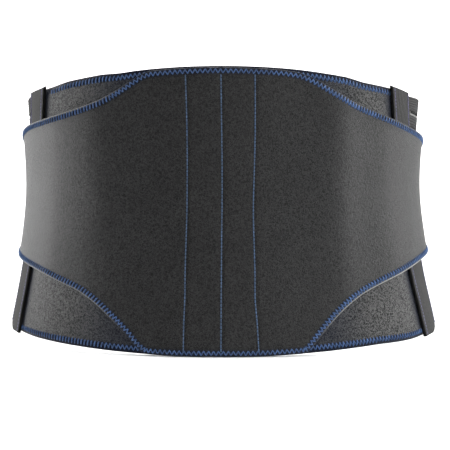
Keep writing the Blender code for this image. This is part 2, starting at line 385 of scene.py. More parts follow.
# Looped face of the neoprene: short raised loops that catch the light, over a dark ground
loopLook = {
    "outer": {"rough": 0.46, "ground": 0.0011, "loops": 0.0175, "sheen": 0.008, "gloss": 0.13},
    # the back panel's copy of the same neoprene, painted lighter than the outer copy: painted light on the
    # back panel's corners
    "inner": {"rough": 0.46, "ground": 0.0016, "loops": 0.0600, "sheen": 0.012, "gloss": 0.07},
    "edges": {"outer": (0.58, 0.77), "inner": (0.60, 0.75)},
    "loopNoise": (820, 1.5, 1.4),  # scale, detail, distortion
    "fibreNoise": (2600, 1.0),
    "fibreHeight": 0.35,
    "patchNoise": (34, 2.0),
    "patchShades": (0.3, 0.7, 0.90, 1.10),
    "bumpDepth": 0.0005,
    "seamShade": (0.0018, 0.0035, 0.0100, 1),
    "cutShade": (0.20, 0.20, 0.19, 1),
}


def loopFabric(name, side):
    look = loopLook[side]
    material, tree, shader = newMaterial(name, look)
    place = objectPlace(tree)
    loops = noise(tree, place, *loopLook["loopNoise"])
    fibres = noise(tree, place, *loopLook["fibreNoise"])
    patches = noise(tree, place, *loopLook["patchNoise"])
    raised = combine(tree, "MULTIPLY_ADD", fibres, loopLook["fibreHeight"], loops)
    share = mapRange(tree, raised, *loopLook["edges"][side])
    colour = mixColours(tree, share, grey(look["ground"]), grey(look["loops"]))
    shade = mapRange(tree, patches, *loopLook["patchShades"])
    colour = mixColours(tree, 1.0, colour, shade, "MULTIPLY")
    # painted shade: darker round the stitches, beside the strips and towards the back panel's middle
    colour = mixColours(tree, attribute(tree, "paintedShade"), colour, loopLook["seamShade"])
    colour = mixColours(tree, attribute(tree, "paleCutAndHighlight"), colour, loopLook["cutShade"])
    dress(tree, shader, colour, raised, 1.0, loopLook["bumpDepth"])
    return material


# Smooth knitted lining, in fine upright wales
liningLook = {
    "rough": 0.85,
    "sheen": 0.25,
    "gloss": 0.2,
    "wales": (260, 0.6, 1.0, 2.0),  # scale, distortion, detail, detail's scale
    "patchNoise": (300, 2.0),
    "yarns": (grey(0.040), grey(0.060)),
    "valleyShade": grey(0.028),
    "bump": (0.4, 0.0003),
}


def liningFabric():
    material, tree, shader = newMaterial("lining", liningLook)
    place = patternPlace(tree)
    wales = bands(tree, place, *liningLook["wales"])
    patches = noise(tree, place, *liningLook["patchNoise"])
    colour = mixColours(tree, mapRange(tree, patches, 0.3, 0.7), *liningLook["yarns"])
    # painted shade in the valleys between the wales
    colour = mixColours(tree, mapRange(tree, wales, 0.0, 1.0, 0.0, 0.5), colour, liningLook["valleyShade"])
    dress(tree, shader, colour, wales, *liningLook["bump"])
    return material


# The sheet's cut edge: rubber foam between two knitted faces, paler where the cut shows
cutLook = {
    "rough": 0.8,
    "sheen": 0.0,
    "gloss": 0.2,
    "poreNoise": (1500, 2.0),
    "dark": (grey(0.004), grey(0.014)),
    "pale": ((0.20, 0.22, 0.26, 1), (0.42, 0.45, 0.50, 1)),
    "bump": (0.4, 0.0002),
}


def cutEdgeMaterial():
    material, tree, shader = newMaterial("cutEdge", cutLook)
    pores = noise(tree, objectPlace(tree), *cutLook["poreNoise"])
    dark = mixColours(tree, pores, *cutLook["dark"])
    pale = mixColours(tree, pores, *cutLook["pale"])
    dress(tree, shader, mixColours(tree, attribute(tree, "paleCutAndHighlight"), dark, pale), pores, *cutLook["bump"])
    return material


# Woven or knitted tape, with fine yarns across it
wovenLook = {
    "rough": 0.8,
    "sheen": 0.2,
    "gloss": 0.25,
    "weft": (1.5, 2.0, 3.0),  # distortion, detail, detail's scale
    "mottleNoise": (900, 2.0),
    "yarnEdges": (0.05, 0.55),
    "valleyShade": grey(0.006),
    "lipHighlight": (0.36, 0.36, 0.35, 1),
    "bump": (0.6, 0.0003),
}


def wovenMaterial(name, ground, yarn, weftScale, **changes):
    material, tree, shader = newMaterial(name, {**wovenLook, **changes})
    place = patternPlace(tree)
    weft = bands(tree, place, weftScale, *wovenLook["weft"])
    height = combine(tree, "MULTIPLY", weft, noise(tree, place, *wovenLook["mottleNoise"]))
    colour = mixColours(tree, mapRange(tree, height, *wovenLook["yarnEdges"]), grey(ground), grey(yarn))
    # painted shade in the elastic's rib valleys, and painted shadow on the rib over each slot
    colour = mixColours(tree, attribute(tree, "paintedShade"), colour, wovenLook["valleyShade"])
    # painted highlight on the elastic's rib under each slot
    colour = mixColours(tree, attribute(tree, "paleCutAndHighlight"), colour, wovenLook["lipHighlight"])
    dress(tree, shader, colour, height, *wovenLook["bump"])
    return material


# Bulky sewing thread: twisted plies, darker between them
threadLook = {
    "rough": 0.65,
    "sheen": 0.05,
    "gloss": 0.20,
    "plyNoise": (2600, 1.0, 0.6),
    "runNoise": (160, 1.0),
    "runShades": (0.35, 0.65, 0.80, 1.15),
    "bump": (0.5, 0.0002),
}


def threadMaterial(name, dark, light):
    material, tree, shader = newMaterial(name, threadLook)
    place = objectPlace(tree)
    plies = noise(tree, place, *threadLook["plyNoise"])
    runs = noise(tree, place, *threadLook["runNoise"])
    colour = mixColours(tree, mapRange(tree, plies, 0.35, 0.65), (*dark, 1), (*light, 1))
    colour = mixColours(tree, 1.0, colour, mapRange(tree, runs, *threadLook["runShades"]), "MULTIPLY")
    dress(tree, shader, colour, plies, *threadLook["bump"])
    return material


outerFabric = loopFabric("outerFabric", "outer")
innerFabric = loopFabric("innerFabric", "inner")
lining = liningFabric()
cutEdge = cutEdgeMaterial()
elasticWeave = wovenMaterial("elasticWeave", 0.010, 0.036, 420, sheen=0.01, gloss=0.12)
stripWeave = wovenMaterial("stripWeave", 0.006, 0.032, 150, sheen=0.01, gloss=0.12)
# near-black tape: partly the strip's dark folded edge, partly painted shadow
bindingAndShadowWeave = wovenMaterial("bindingAndShadowWeave", 0.002, 0.006, 300, sheen=0.0, gloss=0.03)
hookTape = wovenMaterial("hookTape", 0.010, 0.030, 500)
tapeWeave = wovenMaterial("tapeWeave", 0.012, 0.040, 380, sheen=0.04)
blueThread = threadMaterial("blueThread", (0.009, 0.026, 0.074), (0.052, 0.104, 0.228))
tealThread = threadMaterial("tealThread", (0.016, 0.034, 0.075), (0.070, 0.120, 0.200))
violetThread = threadMaterial("violetThread", (0.055, 0.055, 0.110), (0.120, 0.115, 0.200))
darkThread = threadMaterial("darkThread", (0.010, 0.010, 0.010), (0.035, 0.035, 0.035))
print("materials made")


# Sheets: how a sheet's section changes from its edge inwards, and how fine its grid is
rim = {
    "rows": (0.0, 0.00025, 0.0007, 0.0014, 0.0024, 0.0036, 0.0048, 0.0062, 0.0080),
    "round": 0.0006,
    "pressed": 0.0010,  # how much the stitching presses the edge
    "pressedWidth": 0.0065,
    "stitchShade": (0.0036, 0.0018),  # how far in the cloth round the stitches gets painted shade
    "rowStep": 0.0050,
    "columnStep": 0.0040,
    "least": 0.00015,  # columns lie no closer than this
    "steepest": 2.2,
    "sharpAngle": 50,
}


def evenly(start, end, step):
    return np.linspace(start, end, max(2, math.ceil(abs(end - start) / step) + 1))


def apart(places):
    # sorted, without those that lie too close together
    places = np.unique(np.round(places, 5))
    return places[np.concatenate([[True], np.diff(places) > rim["least"]])]


def rimRounding(toEdge):
    return rounding(rim["round"], toEdge)


def keep(piece, *nodes, slot=None):
    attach(piece, "root")
    if nodes:
        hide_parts(*nodes)


def wrapGrid(name, ways, heights, inner, outer, materials, paintedShade=0.0, pale=None, cut=None):
    # a flat grid, given its thickness, with each column and row taken to its place on the form
    rows, columns = np.broadcast_shapes(ways.shape, heights.shape)
    shape = (rows, columns)
    ways, heights, inner, outer = (np.broadcast_to(a, shape) for a in (ways, heights, inner, outer))
    grid = bmesh.new()
    bmesh.ops.create_grid(grid, x_segments=columns - 1, y_segments=rows - 1, size=0.5)
    if cut is not None:
        holes = []
        for face in grid.faces:
            middle = face.calc_center_median()
            column = int((middle.x + 0.5) * (columns - 1))
            row = int((middle.y + 0.5) * (rows - 1))
            if cut[row, column]:
                holes.append(face)
        bmesh.ops.delete(grid, geom=holes, context="FACES")
    underside = set(grid.verts)
    bmesh.ops.extrude_face_region(grid, geom=grid.faces[:])
    flat = np.array([vertex.co for vertex in grid.verts])
    column = np.rint((flat[:, 0] + 0.5) * (columns - 1)).astype(int)
    row = np.rint((flat[:, 1] + 0.5) * (rows - 1)).astype(int)
    onTop = np.array([vertex not in underside for vertex in grid.verts])
    offsets = np.where(onTop, outer[row, column], inner[row, column])
    places = wrap(ways[row, column], heights[row, column], offsets)
    for vertex, place in zip(grid.verts, places):
        vertex.co = place
    grid.verts.index_update()
    for face in grid.faces:
        above = sum(onTop[vertex.index] for vertex in face.verts)
        face.material_index = 0 if above == len(face.verts) else 1 if above == 0 else 2
        face.smooth = True
    bmesh.ops.recalc_face_normals(grid, faces=grid.faces[:])
    if grid.calc_volume(signed=True) < 0:
        bmesh.ops.reverse_faces(grid, faces=grid.faces[:])
    mesh = bpy.data.meshes.new(name)
    grid.to_mesh(mesh)
    grid.free()
    mesh.set_sharp_from_angle(angle=math.radians(rim["sharpAngle"]))
    for material in materials:
        mesh.materials.append(material)
    corners = np.zeros(len(mesh.loops), dtype=np.int32)
    mesh.loops.foreach_get("vertex_index", corners)
    flatPlaces = np.stack([ways[row, column] * meanGirth, heights[row, column]], axis=-1)
    pattern = mesh.uv_layers.new(name="pattern")
    pattern.data.foreach_set("uv", flatPlaces[corners].ravel().astype(np.float32))
    for title, values in (("paintedShade", paintedShade), ("paleCutAndHighlight", pale)):
        if values is not None:
            field = mesh.attributes.new(title, "FLOAT", "POINT")
            values = np.broadcast_to(values, shape)
            field.data.foreach_set("value", values[row, column].astype(np.float32))
    return addObject(name, mesh)


def panelThickness(toEdge):
    pressed = rim["pressed"] * (1 - ease(toEdge / rim["pressedWidth"]))
    return layers["panel"] - pressed


def sheetRows(bottoms, tops, slopesLow=0.0, slopesHigh=0.0):
    # heights and distances from the edge: close rows along both edges, even ones between
    close = np.array(rim["rows"])[:, None]
    low = np.minimum(np.sqrt(1 + slopesLow**2), rim["steepest"])
    high = np.minimum(np.sqrt(1 + slopesHigh**2), rim["steepest"])
    start, end = bottoms + close[-1] * low, tops - close[-1] * high
    shares = evenly(0, 1, rim["rowStep"] / float(np.max(end - start)))[1:-1, None]
    heights = np.concatenate([bottoms + close * low, lerp(start, end, shares), (tops - close * high)[::-1]])
    toEdge = np.minimum((heights - bottoms) / low, (tops - heights) / high)
    return heights, toEdge


def slopesOf(edges, ways):
    return np.gradient(edges, ways * meanGirth)


def rimColumns(start, end, atStart, atEnd):
    # columns in metres, close together at each free end
    close = np.array(rim["rows"])
    middle = evenly(start + close[-1] * atStart, end - close[-1] * atEnd, rim["columnStep"])
    parts = [middle]
    if atStart:
        parts.insert(0, start + close[:-1])
    if atEnd:
        parts.append((end - close[:-1])[::-1])
    return np.concatenate(parts)


# Stitching

# Each pair of numbers is a place along the belt, or a height, and how long the change from there takes
zigzag = {
    "pitch": 0.0031,
    "topPitch": 0.0035,
    "atTop": (0.190, 0.010),
    "width": 0.0030,
    "margin": 0.0011,
    "thread": 0.00043,
    "dip": -0.0001,
    "lift": 0.00034,
    "shares": (0.0, 0.2, 0.5, 0.8),
    "shoulder": 0.8,  # the thread's height on either side of the middle of a stitch
}
# Where the edge is stretched, each stitch across it stands up and the one back sinks in
stretched = {
    "pitch": 0.87,
    "closer": (0.055, 0.030),
    "width": 0.0039,
    "margin": -0.0001,
    "wider": (0.055, 0.035),
    "lean": 0.65,
    "sunk": -0.00055,
    "rightSunk": 0.6,
    "thinner": 0.35,
    "thicker": 0.35,
    "turned": (0.105, 0.035),  # the stitches are thin again where the belt turns to its sides
}
straight = {
    "pitch": 0.0026,
    "stitch": 0.0021,
    "shares": (0.0, 0.18, 0.5, 0.82, 1.0),
    "shoulder": 0.75,
    "inset": 0.05,
}
running = {**straight, "thread": 0.00044, "dip": -0.0005, "lift": 0.00030}
fine = {**straight, "thread": 0.00030, "dip": -0.0002, "lift": 0.00020}


def resample(path, steps):
    # points along the path, a step apart, where the step may differ from place to place
    spans = np.hypot(*np.diff(path, axis=0).T)
    steps = np.broadcast_to(steps, len(path))
    counts = np.concatenate([[0], np.cumsum(2 * spans / (steps[1:] + steps[:-1]))])
    at = np.linspace(0, counts[-1], max(2, round(counts[-1])) + 1)
    return np.column_stack([np.interp(at, counts, path[:, k]) for k in (0, 1)])


def inwardOf(path):
    # to the left of the way that the path runs
    along = np.gradient(path, axis=0)
    along /= np.linalg.norm(along, axis=1)[:, None]
    return np.column_stack([-along[:, 1], along[:, 0]])


def zigzagRun(path, face, outwards=1, margin=zigzag["margin"], stretch=0.0):
    # path is in metres along and up; face gives the offset of the cloth's face
    closer = lerp(1.0, stretched["pitch"], stretch * after(np.abs(path[:, 0]), *stretched["closer"]))
    pitch = lerp(zigzag["pitch"], zigzag["topPitch"], after(path[:, 1], *zigzag["atTop"]))
    path = resample(path, pitch * closer / 2)
    along = np.abs(path[:, 0])
    isInner = np.arange(len(path)) % 2
    wider = stretch * after(along, *stretched["wider"])
    turned = stretch * after(along, *stretched["turned"])
    insets = margin + stretched["margin"] * wider + lerp(zigzag["width"], stretched["width"], wider) * isInner
    across = path.copy()
    across[1:] = lerp(path[1:], path[:-1], (stretched["lean"] * wider * isInner)[1:, None])
    holes = across + inwardOf(path) * insets[:, None]
    shares = np.array(zigzag["shares"])
    shoulder = zigzag["lift"] * zigzag["shoulder"]
    lifts = np.array([zigzag["dip"], shoulder, zigzag["lift"], shoulder])
    points = holes[:-1, None] + (holes[1:] - holes[:-1])[:, None] * shares[None, :, None]
    toEdge = insets[:-1, None] + (insets[1:] - insets[:-1])[:, None] * shares[None, :]
    sunk = (wider * isInner * np.where(path[:, 0] < 0, 1.0, stretched["rightSunk"]))[:-1, None]
    lift = lerp(lifts[None], stretched["sunk"], sunk).ravel()
    thick = (1 + stretched["thicker"] * (wider - turned))[:-1, None] * (1 - stretched["thinner"] * sunk)
    ways, heights = points[..., 0].ravel() / meanGirth, points[..., 1].ravel()
    offsets = face(ways, heights, toEdge.ravel()) + outwards * lift
    return np.column_stack([wrap(ways, heights, offsets), np.repeat(thick, len(shares))])


def runningRuns(path, face, stitch, outwards=1):
    path = resample(path, stitch["pitch"])
    shares = np.array(stitch["shares"]) * stitch["stitch"] / stitch["pitch"]
    shoulder = stitch["lift"] * stitch["shoulder"]
    lifts = np.array([stitch["dip"], shoulder, stitch["lift"], shoulder, stitch["dip"]])
    runs = []
    for start, end in zip(path[:-1], path[1:]):
        points = start + (end - start) * shares[:, None]
        ways, heights = points[:, 0] / meanGirth, points[:, 1]
        places = wrap(ways, heights, face(ways, heights, stitch["inset"]) + outwards * lifts)
        runs.append(np.column_stack([places, np.ones(len(places))]))
    return runs


def threadPiece(name, runs, radius, material):
    # each run's rows are points, with the thread's share of its radius there
    curve = bpy.data.curves.new(name + "Path", "CURVE")
    curve.dimensions = "3D"
    curve.bevel_depth = radius
    curve.bevel_resolution = 1
    curve.use_fill_caps = True
    for points in runs:
        spline = curve.splines.new("POLY")
        spline.points.add(len(points) - 1)
        flat = np.column_stack([points[:, :3], np.ones(len(points))]).ravel()
        spline.points.foreach_set("co", flat.astype(np.float32))
        spline.points.foreach_set("radius", points[:, 3].astype(np.float32))
    holder = addObject(name + "Path", curve)
    bpy.context.view_layer.update()
    shown = holder.evaluated_get(bpy.context.evaluated_depsgraph_get())
    mesh = bpy.data.meshes.new_from_object(shown)
    mesh.name = name
    bpy.data.objects.remove(holder)
    mesh.materials.clear()
    mesh.materials.append(material)
    mesh.polygons.foreach_set("use_smooth", np.ones(len(mesh.polygons), dtype=bool))
    return addObject(name, mesh)


def edgePath(ways, heights):
    return np.column_stack([ways * meanGirth, heights])


# Outer panel, with the straps that it narrows into
outerPanel = {
    "topStep": 0.0017,
    "bottomStep": 0.0003,
    "strapEnd": 0.0780,
    "corner": 0.0300,
    "hookLength": 0.0450,
    "cornerSoftness": 0.0015,
    "edgeFlare": 0.0020,
    "flareWidth": 0.0090,
    "grooveDepth": 0.0006,
    "grooveWidth": 0.0016,
    # soft ridges where the straps begin to pull: place along the belt, height, width
    "shoulders": ((-0.098, 0.0030, 0.026), (0.088, 0.0036, 0.020)),
    "shoulderShares": (0.6, 1.1),  # low and high up on the belt
    "shoulderOver": 0.17,
    "climb": (0.72, 0.97),  # from a share of the climb's end, which is this share of the way to the strip
    "descent": (0.55, 0.95),  # from a way round, to a share of the way to the hook pad
    "curlGrows": (0.17, 0.18),
    "curlFades": (0.62, 0.14),
    "grooveZone": 0.034,
    "grooveStep": 0.0008,
}
# The cut edge's pale line: how much of it shows, and where it begins
paleLine = {
    "low": (1.0, 0.6),  # on the right and the left
    "high": (0.15, 0.5),
    "from": (0.14, 0.06),
    "width": (0.0004, 0.0006),
}
outerRows = (
    # way round; then shares of the belt's height: top edge left and right, bottom edge left and right
    (0.118, 0.9854, 0.9863, 0.0170, -0.0190),
    (0.130, 0.9739, 0.9813, 0.0400, 0.0020),
    (0.142, 0.9604, 0.9740, 0.0680, 0.0300),
    (0.155, 0.9445, 0.9637, 0.0934, 0.0612),
    (0.175, 0.9219, 0.9425, 0.1296, 0.1070),
    (0.200, 0.8976, 0.9150, 0.1712, 0.1550),
    (0.230, 0.8790, 0.8872, 0.2088, 0.1960),
    (0.270, 0.8620, 0.8645, 0.2396, 0.2328),
    (0.330, 0.8465, 0.8350, 0.2780, 0.2762),
    (0.400, 0.8360, 0.8122, 0.3098, 0.3185),
    (0.480, 0.8150, 0.7950, 0.3405, 0.3470),
    (0.620, 0.7600, 0.7600, 0.3480, 0.3480),
    (0.850, 0.6900, 0.6900, 0.3150, 0.3150),
)
outerLines = [curveThrough(outerRows, k, extend=True) for k in (1, 2, 3, 4)]


def upperLine(way):
    return np.where(way < 0, outerLines[0](way), outerLines[1](way))


def lowerLine(way):
    return np.where(way < 0, outerLines[2](way), outerLines[3](way))


stripDistance = {"top": 0.1440, "bottom": 0.1805, "width": 0.0250, "onPanel": 0.0120}
stripShift = (
    # height, how far the left and the right strip stand further from the middle, and the share that the
    # right one's width grows to
    (0.000, 0.0000, -0.0010, 1.20),
    (0.025, 0.0000, -0.0036, 1.20),
    (0.060, 0.0002, -0.0078, 1.14),
    (0.120, 0.0018, -0.0070, 1.00),
    (0.205, 0.0034, -0.0055, 0.92),
)
stripShifts = [curveThrough(stripShift, k) for k in (1, 2, 3)]
strapEndWay = float(fromFront(outerPanel["strapEnd"], form["waistHeight"]))

# Rows of straight stitching: height, and the three rows' places along the belt, in metres
stitchRows = (
    (0.003, -0.0244, 0.0019, 0.0283),
    (0.025, -0.0242, 0.0019, 0.0270),
    (0.039, -0.0237, 0.0019, 0.0258),
    (0.061, -0.0236, 0.0020, 0.0256),
    (0.082, -0.0231, 0.0021, 0.0250),
    (0.104, -0.0226, 0.0023, 0.0245),
    (0.126, -0.0225, 0.0024, 0.0250),
    (0.148, -0.0224, 0.0023, 0.0256),
    (0.170, -0.0226, 0.0020, 0.0258),
    (0.204, -0.0234, 0.0017, 0.0257),
)
stitchEnds = (0.0040, 0.2026)
stitchLines = [curveThrough(stitchRows, k) for k in (1, 2, 3)]


def outerTop(way):
    edge = beltTop(way) - outerPanel["topStep"]
    high = softMin(edge, form["beltHeight"] * upperLine(way), outerPanel["cornerSoftness"])
    low = form["beltHeight"] * lowerLine(way)
    return roundOff(high, low, outerPanel["corner"], (strapEndWay - np.abs(way)) * meanGirth)


def outerBottom(way):
    edge = beltBottom(way) + outerPanel["bottomStep"]
    low = softMax(edge, form["beltHeight"] * lowerLine(way), outerPanel["cornerSoftness"])
    high = form["beltHeight"] * upperLine(way)
    return roundOff(low, high, outerPanel["corner"], (strapEndWay - np.abs(way)) * meanGirth)


def outerInside(way, height, toEdge):
    # on the back panel, up over the strip, and down again on the hook pad
    around = np.abs(way)
    start, end = outerPanel["climb"]
    climbEnd = end * stripDistance["top"] / halfGirth(form["beltHeight"])
    climb = after(around, start * climbEnd, (1 - start) * climbEnd)
    hookStart = fromFront(outerPanel["strapEnd"] + outerPanel["hookLength"], form["waistHeight"])
    start, end = outerPanel["descent"]
    descent = after(around, start, end * hookStart - start)
    offset = lerp(lerp(overPanel, overStrip, climb), overHook, descent)
    # the stitched edges of the straps stretch and curl a little away from the body
    free = after(around, *outerPanel["curlGrows"]) * (1 - after(around, *outerPanel["curlFades"]))
    curl = np.clip(1 - toEdge / outerPanel["flareWidth"], 0, 1) ** 2
    higher = lerp(*outerPanel["shoulderShares"], ease(height / outerPanel["shoulderOver"]))
    for place, rise, width in outerPanel["shoulders"]:
        offset = offset + rise * higher * bell(way * meanGirth - place, width)
    return offset + outerPanel["edgeFlare"] * free * curl


def outerGrooves(way, height):
    distance = way * halfGirth(height)
    depth = 0
    for line in stitchLines:
        depth = depth + bell(distance - line(height), outerPanel["grooveWidth"])
    return outerPanel["grooveDepth"] * depth


def outerFace(way, height, toEdge):
    return outerInside(way, height, toEdge) + panelThickness(toEdge) - outerGrooves(way, height)


def makeOuterPanel():
    end, zone = strapEndWay * meanGirth, outerPanel["grooveZone"]
    side = np.concatenate([rimColumns(zone, end, 0, 1), end - cornerTurns(outerPanel["corner"], 30)])
    places = apart(np.concatenate([-side, np.arange(-zone, zone, outerPanel["grooveStep"]), side]))
    places[0], places[-1] = -end, end
    ways = places / meanGirth
    bottoms, tops = outerBottom(ways), outerTop(ways)
    heights, toEdge = sheetRows(bottoms, tops, slopesOf(bottoms, ways), slopesOf(tops, ways))
    toEdge = np.minimum(toEdge, (strapEndWay - np.abs(ways)) * meanGirth)
    inner = outerInside(ways, heights, toEdge) + rimRounding(toEdge)
    outer = outerFace(ways, heights, toEdge) - rimRounding(toEdge)
    # painted shade on the cloth round the edge's stitches
    paintedShade = 1 - after(toEdge, *rim["stitchShade"])
    low, high = (np.where(ways > 0, *paleLine[edge]) for edge in ("low", "high"))
    shown = np.where(heights < (bottoms + tops) / 2, low, high)
    pale = shown * after(np.abs(ways), *paleLine["from"]) * (1 - after(toEdge, *paleLine["width"]))
    faces = (outerFabric, lining, cutEdge)
    return wrapGrid("outerPanel", ways[None], heights, inner, outer, faces, paintedShade, pale)


outerPiece = makeOuterPanel()
keep(outerPiece, "outer_panel", slot="neoprene")


def outerOutline():
    corner = outerPanel["corner"] / meanGirth
    along = np.linspace(0, strapEndWay - corner, 500)
    side = np.concatenate([along, (strapEndWay - cornerTurns(corner, 60)[::-1])[1:]])
    ways = np.concatenate([-side[::-1], side[1:]])
    lower = edgePath(ways, outerBottom(ways))
    upper = edgePath(ways, outerTop(ways))[::-1]
    return np.concatenate([lower, upper, lower[:1]])


outerRun = zigzagRun(outerOutline(), outerFace, stretch=1.0)
outerZigzag = threadPiece("outerZigzag", [outerRun], zigzag["thread"], blueThread)
keep(outerZigzag)


def rowRuns(face, outwards=1):
    runs = []
    for line in stitchLines:
        heights = np.linspace(*stitchEnds, 120)
        path = np.column_stack([line(heights) / halfGirth(heights) * meanGirth, heights])
        runs += runningRuns(path, face, running, outwards)
    return runs


backRows = threadPiece("backStitchRows", rowRuns(outerFace), running["thread"], tealThread)
keep(backRows)
print("outer panel made")


# Back panel, seen at the four corners and from inside
def stripEdge(height, along=0.0):
    share = height / form["beltHeight"]
    return (lerp(stripDistance["bottom"], stripDistance["top"], share) + along) / halfGirth(height)


def stripWay(side, height, along=0.0):
    shift = stripShifts[0 if side < 0 else 1](height)
    across = along * (1 if side < 0 else stripShifts[2](height))
    return side * (stripEdge(height, across) + shift / halfGirth(height))


def backFace(way, height, toEdge):
    return panelThickness(toEdge) + 0.0 * way


def backLining(way, height, toEdge):
    return 0.0 * way + 0.0 * height


backPanel = {
    "halfLength": 0.17,
    "stitchShade": (0.0046, 0.0018),
    "pressed": 0.6,  # painted shade where the outer panel leaves the back panel, darker towards the middle
    "middleShadeTo": (0.070, 0.045),
    "foldShade": 0.85,  # painted shadow beside the strips
    "foldTo": (0.0010, 0.0100),
    "underStrip": 0.004,
    "margin": 0.0021,
    "insideMargin": 0.0012,
    "stitchesFrom": {"low": 0.105, "high": 0.100},
    "stitchesPast": 0.001,
    "insideShort": 0.012,
}


def shadowBesideStrip(ways, heights):
    # painted shadow on the back panel, by how near the strip's inner edge it lies
    edges = np.where(ways < 0, -stripWay(-1, heights), stripWay(1, heights))
    gap = (edges - np.abs(ways)) * halfGirth(heights)
    return backPanel["foldShade"] * (1 - after(gap, *backPanel["foldTo"])) * (gap > -backPanel["underStrip"])


def makeBackPanel():
    shares = evenly(-1, 1, rim["columnStep"] / backPanel["halfLength"])
    tops = beltTop(shares * stripEdge(form["beltHeight"], stripDistance["onPanel"]))
    bottoms = beltBottom(shares * stripEdge(0.0, stripDistance["onPanel"]))
    heights, toEdge = sheetRows(bottoms, tops)
    ways = shares * stripEdge(heights, stripDistance["onPanel"])
    inner = rimRounding(toEdge)
    outer = backFace(ways, heights, toEdge) - inner
    # painted shade, darker towards the back panel's middle
    pressed = backPanel["pressed"] * (1 - after(np.abs(ways) * meanGirth, *backPanel["middleShadeTo"]))
    stitched = 1 - after(toEdge, *backPanel["stitchShade"])
    # painted shade round the stitches, beside the strips and towards the middle
    paintedShade = np.maximum.reduce([stitched, shadowBesideStrip(ways, heights), pressed])
    return wrapGrid("backPanel", ways, heights, inner, outer, (innerFabric, lining, cutEdge), paintedShade)


backPiece = makeBackPanel()
keep(backPiece, "back_panel", slot="neoprene")


def beltEdgePath(first, last, edge, reverse=False):
    ways = np.linspace(first, last, 400)
    path = edgePath(ways, edge(ways))
    return path[::-1] if reverse else path


backEdgeRuns = []
for side in (-1, 1):
    for edge, height, level in ((beltBottom, 0.0, "low"), (beltTop, form["beltHeight"], "high")):
        start, end = backPanel["stitchesFrom"][level], float(stripEdge(height, backPanel["stitchesPast"]))
        path = beltEdgePath(*sorted((side * start, side * end)), edge, level == "high")
        backEdgeRuns.append(zigzagRun(path, backFace, margin=backPanel["margin"], stretch=1.0))
reach = float(stripEdge(form["waistHeight"], -backPanel["insideShort"]))
for edge, reverse in ((beltBottom, False), (beltTop, True)):
    path = beltEdgePath(-reach, reach, edge, reverse)
    backEdgeRuns.append(zigzagRun(path, backLining, -1, backPanel["insideMargin"]))
backZigzag = threadPiece("backZigzag", backEdgeRuns, zigzag["thread"], blueThread)
keep(backZigzag)
insideRows = threadPiece("insideStitchRows", rowRuns(backLining, -1), running["thread"], tealThread)
keep(insideRows)
print("back panel made")


# Strips over the seams between the back panel and the elastic
sideStrip = {
    "overhang": 0.0008,
    "corner": 0.0125,
    "closeColumns": (0, 0.0003, 0.0008, 0.0016, 0.0026),
    "columnsFrom": 0.0040,
    "columnStep": 0.0025,
    "roll": 0.0005,  # the folded edge stands up this much
    "rollWidth": 0.0030,
    "dip": 0.0003,  # and the stitched edges are pressed in
    "dipAt": 0.0020,
    "dipWidth": 0.0006,
    "stitchInsets": (0.0030, 0.0020),
    "stitchRises": (0.0005, 0.006),  # how far above the lower edge each row of stitches ends
}
bindingAndShadow = {
    "width": 0.0024,
    "height": 0.0016,
    "aside": 0.0002,
    "past": {"low": 0.0008, "high": 0.0014},
    "closeRows": (0, 0.0003, 0.0009),
    "rowsFrom": 0.002,
    "rowStep": 0.004,
    "endWidth": 0.0006,
    "ripple": 0.00012,
    "rippleLength": 0.0021,
    "sunk": 0.0002,
    "edge": 0.0003,
}


def stripFace(way, height, toEdge):
    return overPanel + layers["strip"] + 0.0 * way


def makeStrip(side, label):
    width, corner = stripDistance["width"], sideStrip["corner"]
    alongs = np.unique(np.concatenate([
        sideStrip["closeColumns"],
        evenly(sideStrip["columnsFrom"], width - corner, sideStrip["columnStep"]),
        width - cornerTurns(corner, 14),
    ]))
    tops = beltTop(stripWay(side, form["beltHeight"], alongs)) + sideStrip["overhang"]
    bottoms = beltBottom(stripWay(side, 0.0, alongs)) - sideStrip["overhang"]
    bottoms = roundOff(bottoms, tops, corner, width - alongs)
    heights, toEdge = sheetRows(bottoms, tops)
    toEdge = np.minimum(toEdge, np.minimum(alongs, width - alongs))
    near = rimRounding(toEdge)
    roll = sideStrip["roll"] * bell(alongs, sideStrip["rollWidth"])
    dip = sideStrip["dip"] * bell(toEdge - sideStrip["dipAt"], sideStrip["dipWidth"])
    inner = overPanel + 0.3 * near
    outer = overPanel + layers["strip"] - near + roll - dip
    ways = stripWay(side, heights, alongs)
    return wrapGrid(f"sideStrip{label}", ways, heights, inner, outer, (stripWeave,) * 3)


def makeBindingAndShadow(side, label):
    # black tape folded round the strip's inner edge, a little longer than the strip; made near black, it is
    # partly the strip's dark edge and partly painted shadow
    around = np.linspace(-1, 1, 9)
    alongs = around * bindingAndShadow["width"] / 2 + bindingAndShadow["aside"]
    top = float(beltTop(stripWay(side, form["beltHeight"]))) + bindingAndShadow["past"]["high"]
    bottom = float(beltBottom(stripWay(side, 0.0))) - bindingAndShadow["past"]["low"]
    close = np.array(bindingAndShadow["closeRows"])
    middle = evenly(bottom + bindingAndShadow["rowsFrom"], top - bindingAndShadow["rowsFrom"], bindingAndShadow["rowStep"])
    heights = np.concatenate([bottom + close, middle, top - close[::-1]])[:, None] * np.ones(len(alongs))
    toEnd = np.minimum(heights - bottom, top - heights)
    dome = np.sqrt(1 - (0.98 * around) ** 2) * (1 - 0.6 * bell(toEnd, bindingAndShadow["endWidth"]))
    ripple = bindingAndShadow["ripple"] * np.sin(heights / bindingAndShadow["rippleLength"])
    inner = overPanel - bindingAndShadow["sunk"] + 0.0 * heights
    outer = inner + bindingAndShadow["edge"] + (bindingAndShadow["height"] + ripple) * dome
    ways = stripWay(side, heights, alongs)
    return wrapGrid(f"stripBindingAndShadow{label}", ways, heights, inner, outer, (bindingAndShadowWeave,) * 3)


